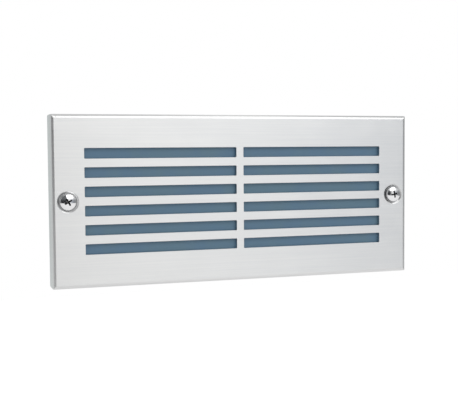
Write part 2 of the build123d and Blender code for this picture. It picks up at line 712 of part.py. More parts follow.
def wire(name, points):
    """A wire of straight runs and tangent arcs; its volume is set against section times length."""
    path = FilletPolyline(*points, radius=WIRE_BEND)
    section = Plane(path @ 0, z_dir=path % 0) * Circle(WIRE_RADIUS)
    solid = sweep(section, path)
    expected = math.pi * WIRE_RADIUS**2 * path.length
    print(f"{name}: bend radius {WIRE_BEND} mm, length {path.length:.1f} mm,", end=" ")
    print(f"volume {solid.volume:.1f} of {expected:.1f} mm3")
    return solid


def lamp_wire(name, holder_z, pole_z):
    """From a lampholder terminal, back and across to a pole of the strip."""
    points = [
        (43.5, LAMP_Y, holder_z),
        (WIRE_TURN_X, LAMP_Y, holder_z),
        (WIRE_TURN_X, POLE_Y, pole_z),
        (STRIP_X - 1, POLE_Y, pole_z),
    ]
    return wire(name, points)


def earth_wire():
    """From the strip's lowest pole down to the ring terminal."""
    points = [
        (STRIP_X - 1, POLE_Y, POLE_ZS[0]),
        (EARTH_X, POLE_Y, POLE_ZS[0]),
        (EARTH_X, BARREL_Y, EARTH_Z + 8),
    ]
    return wire("earth_wire", points)


def earth_ring():
    """The crimped ring terminal on the earth boss."""
    near = EARTH_BOSS_Y - RING_SHEET
    plate = ring_washer(4.0, M4 + 0.1, near, EARTH_BOSS_Y, EARTH_X, EARTH_Z)
    neck = block(EARTH_X - 1.6, EARTH_X + 1.6, near, EARTH_BOSS_Y, EARTH_Z + 3, EARTH_Z + 5.5)
    barrel = Pos(EARTH_X, BARREL_Y, EARTH_Z + 8) * (Cylinder(BARREL_RADIUS, 6) - Cylinder(1.55, 7))
    return plate + neck + barrel


def earth_washer():
    y_far = EARTH_BOSS_Y - RING_SHEET
    return ring_washer(3.8, M4 + 0.1, y_far - SPRING_WASHER, y_far, EARTH_X, EARTH_Z)


def earth_screw():
    screw = pan_screw(M4, 6.0, 3.5, 2.3, "cross")
    return Pos(EARTH_X, EARTH_BOSS_Y - RING_SHEET - SPRING_WASHER, EARTH_Z) * screw


# Cable entries


def gland_washer():
    return ring_washer(13.0, GLAND_THREAD + 0.1, GLAND_BOSS_Y, GLAND_BOSS_Y + ENTRY_WASHER, GLAND_X, GLAND_Z)


def gland_body():
    """Entry spigot, spanner hexagon and a threaded tube that holds the seal."""
    hex_near = GLAND_BOSS_Y + ENTRY_WASHER
    hex_far = hex_near + GLAND_HEX_LENGTH
    tube_end = hex_far + GLAND_TUBE_LENGTH
    body = Pos(GLAND_X, 0, GLAND_Z) * prism(RegularPolygon(GLAND_HEX, 6), hex_near, hex_far)
    body += post(GLAND_THREAD - TAP_CLEARANCE, Y_CAVITY_BACK - 0.5, hex_near, GLAND_X, GLAND_Z)
    body += post(GLAND_TUBE, hex_far, tube_end, GLAND_X, GLAND_Z)
    body -= post(5.5, Y_CAVITY_BACK - 1, tube_end, GLAND_X, GLAND_Z)
    return body - post(7.2, hex_far - 2.5, tube_end + 1, GLAND_X, GLAND_Z)


def gland_seal():
    """The rubber sleeve that closes on the cable."""
    near = GLAND_BOSS_Y + 4.0
    outline = [
        (CABLE_RADIUS, near),
        (7.15, near),
        (7.15, near + 8.0),
        (6.2, near + 10.0),
        (CABLE_RADIUS, near + 10.0),
    ]
    return turned_on_y(outline, GLAND_X, GLAND_Z)


def gland_claw():
    """A slotted ring that the dome nut presses onto the seal."""
    near = GLAND_BOSS_Y + 14.3
    outline = [
        (5.3, near),
        (6.9, near),
        (6.9, near + 1.6),
        (7.9, near + 2.1),
        (6.6, near + 4.4),
        (5.3, near + 4.4),
    ]
    claw = turned_on_y(outline, GLAND_X, GLAND_Z)
    for step in range(4):
        slit = Pos(GLAND_X, near + 3.4, GLAND_Z) * Rot(0, 45 * step, 0) * Box(18, 2.4, 0.8)
        claw -= slit
    return claw


def gland_dome_nut():
    """The domed nut: a spanner hexagon under a round nose."""
    near = GLAND_BOSS_Y + 7.5
    nose = near + 15.5
    outside = [
        (0, near),
        (GLAND_HEX - 0.8, near),
        (GLAND_HEX, near + 0.8),
        (GLAND_HEX, near + 6.5),
        (12.0, near + 8.6),
        (11.6, near + 11.5),
        (10.2, near + 14.3),
        (8.2, nose),
        (0, nose),
    ]
    hexagon = Pos(GLAND_X, 0, GLAND_Z) * prism(RegularPolygon(GLAND_HEX, 6), near, nose)
    nut = hexagon & turned_on_y(outside, GLAND_X, GLAND_Z)
    inside = [
        (0, near - 1),
        (9.1, near - 1),
        (9.1, near + 8.0),
        (8.4, near + 8.4),
        (6.7, near + 12.4),
        (6.7, nose + 1),
        (0, nose + 1),
    ]
    return nut - turned_on_y(inside, GLAND_X, GLAND_Z)


def plug_washer():
    ring = rod(PLUG_RADIUS, PLUG_BOSS_X, PLUG_BOSS_X + PLUG_WASHER, PLUG_Y)
    return ring - rod(GLAND_THREAD + 0.1, PLUG_BOSS_X - 1, PLUG_BOSS_X + 2, PLUG_Y)


def blanking_plug():
    """A hollow threaded plug with a coin slot, in the entry that isn't used."""
    head = PLUG_BOSS_X + PLUG_WASHER
    plug = rod(PLUG_RADIUS, head, head + PLUG_HEAD, PLUG_Y)
    plug = fillet(plug.faces().sort_by(Axis.X)[-1].edges(), 0.8)
    plug += rod(GLAND_THREAD - TAP_CLEARANCE, PLUG_BOSS_X - 6.2, head, PLUG_Y)
    plug -= rod(7.5, PLUG_BOSS_X - 7, head - 0.5, PLUG_Y)
    return plug - Pos(head + PLUG_HEAD, PLUG_Y, 0) * Box(2.4, 16, 2.2)


PARTS = {
    "faceplate": faceplate,
    "diffuser": diffuser,
    "diffuser_gasket": diffuser_gasket,
    "glass_clips": glass_clips,
    "cover_screw_left": lambda: cover_screw(-SCREW_X),
    "cover_screw_right": lambda: cover_screw(SCREW_X),
    "cover_washer_left": lambda: cover_washer(-SCREW_X),
    "cover_washer_right": lambda: cover_washer(SCREW_X),
    "housing": housing,
    "wall_gasket": wall_gasket,
    "lampholder_body": lampholder_body,
    "lampholder_shell": lampholder_shell,
    "lampholder_contact": lampholder_contact,
    "lampholder_terminals": lampholder_terminals,
    "lampholder_terminal_screws": lampholder_terminal_screws,
    "lampholder_bracket": lampholder_bracket,
    "lampholder_screws": lampholder_screws,
    "bracket_screws": bracket_screws,
    "lamp_bulb": lamp_bulb,
    "lamp_cap": lamp_cap,
    "lamp_insulator": lamp_insulator,
    "lamp_contact": lamp_contact,
    "terminal_block": terminal_block,
    "terminal_inserts": terminal_inserts,
    "terminal_screws": terminal_screws,
    "strip_screws": strip_screws,
    "live_wire": lambda: lamp_wire("live_wire", TERMINAL_Z, POLE_ZS[2]),
    "neutral_wire": lambda: lamp_wire("neutral_wire", -TERMINAL_Z, POLE_ZS[1]),
    "earth_wire": earth_wire,
    "earth_ring": earth_ring,
    "earth_washer": earth_washer,
    "earth_screw": earth_screw,
    "gland_washer": gland_washer,
    "gland_body": gland_body,
    "gland_seal": gland_seal,
    "gland_claw": gland_claw,
    "gland_dome_nut": gland_dome_nut,
    "plug_washer": plug_washer,
    "blanking_plug": blanking_plug,
}

os.makedirs("parts", exist_ok=True)
for name, make in PARTS.items():
    export_step(make(), f"parts/{name}.step")
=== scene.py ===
"""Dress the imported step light: its finishes, its rolled and cut threads, the studio and the camera."""

from __future__ import annotations

import json
import logging
import math
from collections.abc import Sequence
from dataclasses import dataclass, field
from enum import Enum
from typing import Any

import bmesh
import bpy
from mathutils import Matrix, Vector

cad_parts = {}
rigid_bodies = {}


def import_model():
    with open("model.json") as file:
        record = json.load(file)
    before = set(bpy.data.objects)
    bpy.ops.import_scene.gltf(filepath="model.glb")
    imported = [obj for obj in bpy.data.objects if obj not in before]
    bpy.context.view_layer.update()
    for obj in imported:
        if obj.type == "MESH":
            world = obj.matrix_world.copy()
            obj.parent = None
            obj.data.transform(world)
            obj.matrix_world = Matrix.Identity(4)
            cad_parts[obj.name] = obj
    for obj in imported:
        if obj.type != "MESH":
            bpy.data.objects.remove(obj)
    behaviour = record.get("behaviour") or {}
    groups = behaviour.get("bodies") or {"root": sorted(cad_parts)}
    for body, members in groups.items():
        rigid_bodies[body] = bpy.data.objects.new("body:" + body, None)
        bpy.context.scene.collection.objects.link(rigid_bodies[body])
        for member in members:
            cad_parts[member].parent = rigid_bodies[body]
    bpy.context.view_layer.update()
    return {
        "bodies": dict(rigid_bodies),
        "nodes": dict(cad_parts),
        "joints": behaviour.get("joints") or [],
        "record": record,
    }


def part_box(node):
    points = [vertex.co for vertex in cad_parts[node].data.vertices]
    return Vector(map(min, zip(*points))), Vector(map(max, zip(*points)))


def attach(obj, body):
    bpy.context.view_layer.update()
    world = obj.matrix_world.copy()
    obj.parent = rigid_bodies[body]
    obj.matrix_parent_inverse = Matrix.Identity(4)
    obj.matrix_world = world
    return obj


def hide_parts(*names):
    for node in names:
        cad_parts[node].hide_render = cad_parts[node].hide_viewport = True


LOG = logging.getLogger("step_light")
Point = tuple[float, float, float]
Colour = tuple[float, float, float]
Pair = tuple[float, float]
Feed = bpy.types.NodeSocket | float | tuple[float, ...]

MM = 0.001
WELD = 0.0001 * MM
CREASE = math.radians(32.0)
FULL_TURN = 2.0 * math.pi
SCREW_X = 110.0 * MM
WHITE = (1.0, 1.0, 1.0, 1.0)


class Body(Enum):
    """The bodies that a new piece can ride on."""

    BOX = "recess_box"
    LEFT_SCREW = "left_screw"
    RIGHT_SCREW = "right_screw"
    LAMP = "lamp"


class Slot(Enum):
    """The record's finishes."""

    BRUSHED_STAINLESS = "brushed_stainless"
    SCREW_STEEL = "screw_steel"
    CLIP_STEEL = "clip_steel"
    NYLON_WASHER = "nylon_washer"
    FROSTED_GLASS = "frosted_glass"
    SILICONE = "silicone"
    FOAM = "foam"
    CAST_ALUMINIUM = "cast_aluminium"
    PORCELAIN = "porcelain"
    BRASS = "brass"
    PLATED_STEEL = "plated_steel"
    ZINC_SCREW = "zinc_screw"
    OPAL_GLASS = "opal_glass"
    CAP_ALUMINIUM = "cap_aluminium"
    BLACK_GLASS = "black_glass"
    SOLDER = "solder"
    WHITE_NYLON = "white_nylon"
    BROWN_SLEEVE = "brown_sleeve"
    BLUE_SLEEVE = "blue_sleeve"
    GREEN_YELLOW_SLEEVE = "green_yellow_sleeve"
    GREY_NYLON = "grey_nylon"
    BLACK_RUBBER = "black_rubber"


class Texture(Enum):
    """How a finish is worked, which chooses the effects that its material gets."""

    BRUSHED = "brushed"
    TURNED = "turned"
    CAST = "cast"
    MOULDED = "moulded"
    FIRED = "fired"
    FOAMED = "foamed"
    FROSTED = "frosted"
    SLEEVED = "sleeved"
    # A screw steel whose driver recess is painted near-black: painted shade for the light that the recess
    # hides.
    PAINTED_RECESS_SHADE = "forged"


@dataclass(frozen=True)
class Octaves:
    """How a noise is layered.

    Attributes:
        detail: Its octaves.
        rough: How strong the finer octaves are.
    """

    detail: float
    rough: float


# Noises: the grain of a skin, its mottle, the smears of handling, and the lines of a brushed sheet.
GRAIN = Octaves(3.0, 0.55)
MOTTLE = Octaves(3.0, 0.6)
SMEAR = Octaves(5.0, 0.65)
STREAK = Octaves(4.0, 0.6)
HAIRLINE = Octaves(2.0, 0.6)

# Smears and brushed lines to the metre, how much finer the hairlines are, and how they sway the gloss.
SMEARS = 38.0
LINE_LENGTH = 14.0
HAIRLINE_SHARE = 4.0
HAIRLINE_GLOSS = (-0.03, 0.03)

# Where each mask starts to rise and where it is full.
SIDE_FOLD = (0.5, 0.8)
SMEAR_EDGE = (0.42, 0.66)
CELL_EDGE = (0.12, 0.5)
STREAK_EDGE = (0.3, 0.7)
MOTTLE_EDGE = (0.35, 0.65)
CAST_EDGE = (0.30, 0.70)
HOLLOW_SHADE_EDGE = (0.34, 0.52)

# Along Y, where a wire's sleeve starts to take its second colour and where it has all of it.
BAND_START = 77.6 * MM
BAND_END = 77.8 * MM

# The struck recess of a cover screw: its size, its edges, the near-black colour painted into it as
# painted shade, and how dull it is.
RECESS = {
    "centre": SCREW_X,
    "front": -14.74 * MM,
    "crown": 9.8 * MM,
    "mouth": 2.65 * MM,
    "back": -11.9 * MM,
}
RECESS_SINK = (0.05 * MM, 0.35 * MM)
RECESS_WALL = (0.0, 0.2 * MM)
RECESS_FLOOR = (0.0, 0.1 * MM)
RECESS_PAINTED_SHADE = (0.045, 0.045, 0.05)
RECESS_DULL = 0.4


class Sheet:
    """A node tree with short ways to add nodes and links."""

    def __init__(self, tree: bpy.types.NodeTree) -> None:
        """Keep the tree.

        Args:
            tree: The node tree that nodes are added to.
        """
        self.tree = tree

    def node(self, kind: str, **settings: object) -> bpy.types.Node:
        """Add a node.

        Args:
            kind: The node's type name.
            **settings: Attributes to set on it.

        Returns:
            The new node.
        """
        made = self.tree.nodes.new(kind)
        for name, value in settings.items():
            setattr(made, name, value)
        return made

    def feed(self, socket: bpy.types.NodeSocket, value: Feed) -> None:
        """Link a socket to another, or set it to a constant.

        Args:
            socket: The input to feed.
            value: An output socket, a number or a tuple.
        """
        if isinstance(value, bpy.types.NodeSocket):
            self.tree.links.new(value, socket)
        else:
            socket.default_value = value

    def maths(self, operation: str, *values: Feed, clamp: bool = False) -> bpy.types.NodeSocket:
        """Add a Math node.

        Args:
            operation: The node's operation.
            *values: Its inputs, each a socket or a number.
            clamp: Whether the result is held between 0 and 1.

        Returns:
            The node's output.
        """
        made = self.node("ShaderNodeMath", operation=operation, use_clamp=clamp)
        for socket, value in zip(made.inputs, values):
            self.feed(socket, value)
        return made.outputs[0]

    def blend(self, factor: Feed, first: Feed, second: Feed) -> bpy.types.NodeSocket:
        """Mix two colours.

        Args:
            factor: How much of the second is taken.
            first: The colour at 0.
            second: The colour at 1.

        Returns:
            The mixed colour.
        """
        made = self.node("ShaderNodeMix", data_type="RGBA")
        self.feed(made.inputs["Factor"], factor)
        for name, value in (("A", first), ("B", second)):
            socket = next(s for s in made.inputs if s.name == name and s.type == "RGBA")
            self.feed(socket, value)
        return next(s for s in made.outputs if s.type == "RGBA")

    def noise(self, vector: Feed, scale: Feed, octaves: Octaves) -> bpy.types.NodeSocket:
        """Add a Noise Texture.

        Args:
            vector: Where it is read.
            scale: Its frequency.
            octaves: How it is layered.

        Returns:
            Its value.
        """
        made = self.node("ShaderNodeTexNoise")
        self.feed(made.inputs["Vector"], vector)
        self.feed(made.inputs["Scale"], scale)
        self.feed(made.inputs["Detail"], octaves.detail)
        self.feed(made.inputs["Roughness"], octaves.rough)
        return made.outputs[0]

    def spread(self, value: Feed, low: Feed, high: Feed) -> bpy.types.NodeSocket:
        """Map 0 to 1 onto low to high.

        Args:
            value: The value to map.
            low: What 0 becomes.
            high: What 1 becomes.

        Returns:
            The mapped value.
        """
        made = self.node("ShaderNodeMapRange", clamp=True)
        self.feed(made.inputs["Value"], value)
        self.feed(made.inputs["To Min"], low)
        self.feed(made.inputs["To Max"], high)
        return made.outputs[0]

    def step(self, value: Feed, start: float, end: float) -> bpy.types.NodeSocket:
        """Rise smoothly from 0 at start to 1 at end.

        Args:
            value: The value to judge.
            start: Where the rise begins.
            end: Where it ends.

        Returns:
            A mask from 0 to 1.
        """
        made = self.node("ShaderNodeMapRange", clamp=True, interpolation_type="SMOOTHSTEP")
        self.feed(made.inputs["Value"], value)
        self.feed(made.inputs["From Min"], start)
        self.feed(made.inputs["From Max"], end)
        return made.outputs[0]

    def point(self) -> bpy.types.NodeSocket:
        """Give the shaded point.

        Returns:
            Its Object coordinates.
        """
        return self.node("ShaderNodeTexCoord").outputs["Object"]

    def split(self, vector: bpy.types.NodeSocket) -> bpy.types.NodeOutputs:
        """Split a vector.

        Args:
            vector: The vector.

        Returns:
            Its X, Y and Z, by name.
        """
        made = self.node("ShaderNodeSeparateXYZ")
        self.feed(made.inputs[0], vector)
        return made.outputs


class Effects:
    """Shader node groups that several finishes share, each built once."""

    def __init__(self) -> None:
        """Start with no group built."""
        self.groups: dict[str, bpy.types.NodeTree] = {}

    def place(self, sheet: Sheet, name: str, **values: float) -> bpy.types.Node:
        """Put a group into a material.

        Args:
            sheet: The material's tree.
            name: The group's name, which is also the method that builds it.
            **values: Its inputs, with underscores for spaces.

        Returns:
            The group node.
        """
        if name not in self.groups:
            self.groups[name] = getattr(self, f"_{name}")()
        made = sheet.node("ShaderNodeGroup")
        made.node_tree = self.groups[name]
        for key, value in values.items():
            made.inputs[key.replace("_", " ").title()].default_value = value
        return made

    @staticmethod
    def _start(
        name: str, inputs: Sequence[str], outputs: Sequence[str]
    ) -> tuple[Sheet, dict[str, bpy.types.NodeSocket], bpy.types.Node]:
        """Make an empty group.

        Args:
            name: The group's name.
            inputs: Its numeric inputs.
            outputs: Its numeric outputs.

        Returns:
            Its sheet, its inputs by name and its output node.
        """
        tree = bpy.data.node_groups.new(name, "ShaderNodeTree")
        for socket in inputs:
            tree.interface.new_socket(name=socket, in_out="INPUT", socket_type="NodeSocketFloat")
        for socket in outputs:
            tree.interface.new_socket(name=socket, in_out="OUTPUT", socket_type="NodeSocketFloat")
        sheet = Sheet(tree)
        source = sheet.node("NodeGroupInput")
        return sheet, {s.name: s for s in source.outputs}, sheet.node("NodeGroupOutput")

    def _brushing(self) -> bpy.types.NodeTree:
        """Build the brushing of a folded sheet: lines along X, which turn over the folds with it.

        Returns:
            The group's tree.
        """
        sheet, given, result = self._start("brushing", ["Fineness", "Length"], ["Streak", "Hairline"])
        coords = sheet.node("ShaderNodeTexCoord")
        place = sheet.split(coords.outputs["Object"])
        normal = sheet.split(coords.outputs["Normal"])
        lying = sheet.maths("ABSOLUTE", normal["Z"])
        across = sheet.maths("ADD", place["Z"], sheet.maths("MULTIPLY", place["Y"], lying))
        facing = sheet.step(sheet.maths("ABSOLUTE", normal["X"]), *SIDE_FOLD)
        along = sheet.maths("ADD", place["X"], sheet.maths("MULTIPLY", place["Y"], facing))
        for name, share, octaves in (("Streak", 1.0, STREAK), ("Hairline", HAIRLINE_SHARE, HAIRLINE)):
            spot = sheet.node("ShaderNodeCombineXYZ")
            sheet.feed(spot.inputs["X"], sheet.maths("MULTIPLY", along, given["Length"]))
            fine = sheet.maths("MULTIPLY", given["Fineness"], share)
            sheet.feed(spot.inputs["Z"], sheet.maths("MULTIPLY", across, fine))
            sheet.feed(result.inputs[name], sheet.noise(spot.outputs[0], 1.0, octaves))
        return sheet.tree

    def _grain(self) -> bpy.types.NodeTree:
        """Build an even surface grain with a slow mottle over it.

        Returns:
            The group's tree.
        """
        sheet, given, result = self._start("grain", ["Fineness", "Patch"], ["Height", "Mottle"])
        place = sheet.point()
        sheet.feed(result.inputs["Height"], sheet.noise(place, given["Fineness"], GRAIN))
        sheet.feed(result.inputs["Mottle"], sheet.noise(place, given["Patch"], MOTTLE))
        return sheet.tree

    def _handling(self) -> bpy.types.NodeTree:
        """Build the faint marks of wiping and handling, which only dull the gloss here and there.

        Returns:
            The group's tree.
        """
        sheet, given, result = self._start("handling", ["Size", "Low", "High"], ["Roughness"])
        smear = sheet.step(sheet.noise(sheet.point(), given["Size"], SMEAR), *SMEAR_EDGE)
        sheet.feed(result.inputs["Roughness"], sheet.spread(smear, given["Low"], given["High"]))
        return sheet.tree

    def _pores(self) -> bpy.types.NodeTree:
        """Build the open cells of a foam.

        Returns:
            The group's tree.
        """
        sheet, given, result = self._start("pores", ["Fineness"], ["Height", "Pit"])
        cells = sheet.node("ShaderNodeTexVoronoi")
        sheet.feed(cells.inputs["Vector"], sheet.point())
        sheet.feed(cells.inputs["Scale"], given["Fineness"])
        depth = sheet.step(cells.outputs["Distance"], *CELL_EDGE)
        sheet.feed(result.inputs["Height"], depth)
        sheet.feed(result.inputs["Pit"], sheet.maths("SUBTRACT", 1.0, depth))
        return sheet.tree

    def _recess(self) -> bpy.types.NodeTree:
        """Build the mask of a driver recess: what lies under the dome of a screw head on an axis along Y.

        Returns:
            The group's tree.
        """
        sheet, given, result = self._start("recess", [name.title() for name in RECESS], ["Mask"])
        place = sheet.split(sheet.point())
        across = sheet.maths("SUBTRACT", sheet.maths("ABSOLUTE", place["X"]), given["Centre"])
        sides = [sheet.maths("POWER", side, 2.0) for side in (across, place["Z"])]
        spread = sheet.maths("ADD", *sides)
        crown = sheet.maths("POWER", given["Crown"], 2.0)
        fall = sheet.maths("SQRT", sheet.maths("SUBTRACT", crown, spread))
        dome = sheet.maths("SUBTRACT", sheet.maths("ADD", given["Front"], given["Crown"]), fall)
        sunk = sheet.step(sheet.maths("SUBTRACT", place["Y"], dome), *RECESS_SINK)
        beyond = sheet.maths("SUBTRACT", sheet.maths("SQRT", spread), given["Mouth"])
        inside = sheet.maths("SUBTRACT", 1.0, sheet.step(beyond, *RECESS_WALL))
        ahead = sheet.step(sheet.maths("SUBTRACT", given["Back"], place["Y"]), *RECESS_FLOOR)
        within = sheet.maths("MULTIPLY", sunk, inside)
        sheet.feed(result.inputs["Mask"], sheet.maths("MULTIPLY", within, ahead))
        return sheet.tree


@dataclass(frozen=True)
class Finish:
    """One finish: its colours, its gloss and how its surface is worked.

    Attributes:
        slot: The record's slot.
        texture: How the surface is worked.
        colour: Its main colour.
        shade: The colour that its variation goes towards.
        metallic: 1 on a metal.
        gloss: The lowest and the highest roughness.
        fineness: Grain or lines to the metre.
        patch: Patches of the mottle to the metre.
        relief: The depth of the grain, in metres.
        constants: Values set straight on the shader's sockets.
    """

    slot: Slot
    texture: Texture
    colour: Colour
    shade: Colour
    metallic: float = 0.0
    gloss: Pair = (0.4, 0.5)
    fineness: float = 2500.0
    patch: float = 45.0
    relief: float = 0.00002
    constants: dict[str, float] = field(default_factory=dict)

    def material(self, effects: Effects) -> bpy.types.Material:
        """Build the finish.

        Args:
            effects: The shared node groups.

        Returns:
            Its material.
        """
        made = bpy.data.materials.new(self.slot.value)
        made.use_nodes = True
        made.node_tree.nodes.clear()
        sheet = Sheet(made.node_tree)
        shader = sheet.node("ShaderNodeBsdfPrincipled")
        shader.inputs["Metallic"].default_value = self.metallic
        for name, value in self.constants.items():
            shader.inputs[name].default_value = value
        colour, rough, height = self._surface(sheet, effects)
        sheet.feed(shader.inputs["Base Color"], colour)
        sheet.feed(shader.inputs["Roughness"], rough)
        bump = sheet.node("ShaderNodeBump")
        bump.inputs["Strength"].default_value = 1.0
        bump.inputs["Distance"].default_value = self.relief
        sheet.feed(bump.inputs["Height"], height)
        sheet.feed(shader.inputs["Normal"], bump.outputs[0])
        output = sheet.node("ShaderNodeOutputMaterial")
        sheet.feed(output.inputs["Surface"], shader.outputs[0])
        made.diffuse_color = (*self.colour, 1.0)
        return made

    def _surface(self, sheet: Sheet, effects: Effects) -> tuple[Feed, Feed, Feed]:
        """Choose colour, roughness and height for the texture.

        Args:
            sheet: The material's tree.
            effects: The shared node groups.

        Returns:
            The three output sockets.
        """
        low, high = self.gloss
        marks = effects.place(sheet, "handling", size=SMEARS, low=low, high=high).outputs["Roughness"]
        if self.texture is Texture.BRUSHED:
            return self._brushed(sheet, effects, marks)
        if self.texture is Texture.FOAMED:
            cells = effects.place(sheet, "pores", fineness=self.fineness).outputs
            # The pits of the cells take the darker colour: painted shade in the foam's hollows.
            return self._mixed(sheet, cells["Pit"]), marks, cells["Height"]
        grain = effects.place(sheet, "grain", fineness=self.fineness, patch=self.patch).outputs
        match self.texture:
            case Texture.CAST:
                skin = self._mixed(sheet, sheet.step(grain["Mottle"], *CAST_EDGE))
                # The lowest parts of the grain, the hollows of its bump, take the darker colour: painted
                # shade.
                hollow_shade = sheet.step(grain["Height"], *HOLLOW_SHADE_EDGE)
                return sheet.blend(hollow_shade, (*self.shade, 1.0), skin), marks, grain["Height"]
            case Texture.SLEEVED:
                band = sheet.step(sheet.split(sheet.point())["Y"], BAND_START, BAND_END)
                return self._mixed(sheet, band), marks, grain["Height"]
            case Texture.PAINTED_RECESS_SHADE:
                # Inside the recess the colour goes near-black: painted shade, where the recess hides the
                # light.
                recess = effects.place(sheet, "recess", **RECESS).outputs["Mask"]
                steel = self._mixed(sheet, grain["Mottle"])
                dull = sheet.maths("ADD", marks, sheet.maths("MULTIPLY", recess, RECESS_DULL), clamp=True)
                return sheet.blend(recess, steel, (*RECESS_PAINTED_SHADE, 1.0)), dull, grain["Height"]
            case _:
                tone = sheet.step(grain["Mottle"], *MOTTLE_EDGE)
                return self._mixed(sheet, tone), marks, grain["Height"]

    def _brushed(self, sheet: Sheet, effects: Effects, marks: Feed) -> tuple[Feed, Feed, Feed]:
        """Dress the cover: streaks in its colour and hairlines in its gloss and height.

        Args:
            sheet: The material's tree.
            effects: The shared node groups.
            marks: The roughness from handling.

        Returns:
            Colour, roughness and height sockets.
        """
        lines = effects.place(sheet, "brushing", fineness=self.fineness, length=LINE_LENGTH).outputs
        tone = sheet.step(lines["Streak"], *STREAK_EDGE)
        fine = sheet.spread(lines["Hairline"], *HAIRLINE_GLOSS)
        rough = sheet.maths("ADD", marks, fine, clamp=True)
        return self._mixed(sheet, tone), rough, lines["Hairline"]

    def _mixed(self, sheet: Sheet, share: Feed) -> bpy.types.NodeSocket:
        """Mix the main colour and the shade.

        Args:
            sheet: The material's tree.
            share: How much of the shade is taken.

        Returns:
            The mixed colour.
        """
        return sheet.blend(share, (*self.colour, 1.0), (*self.shade, 1.0))


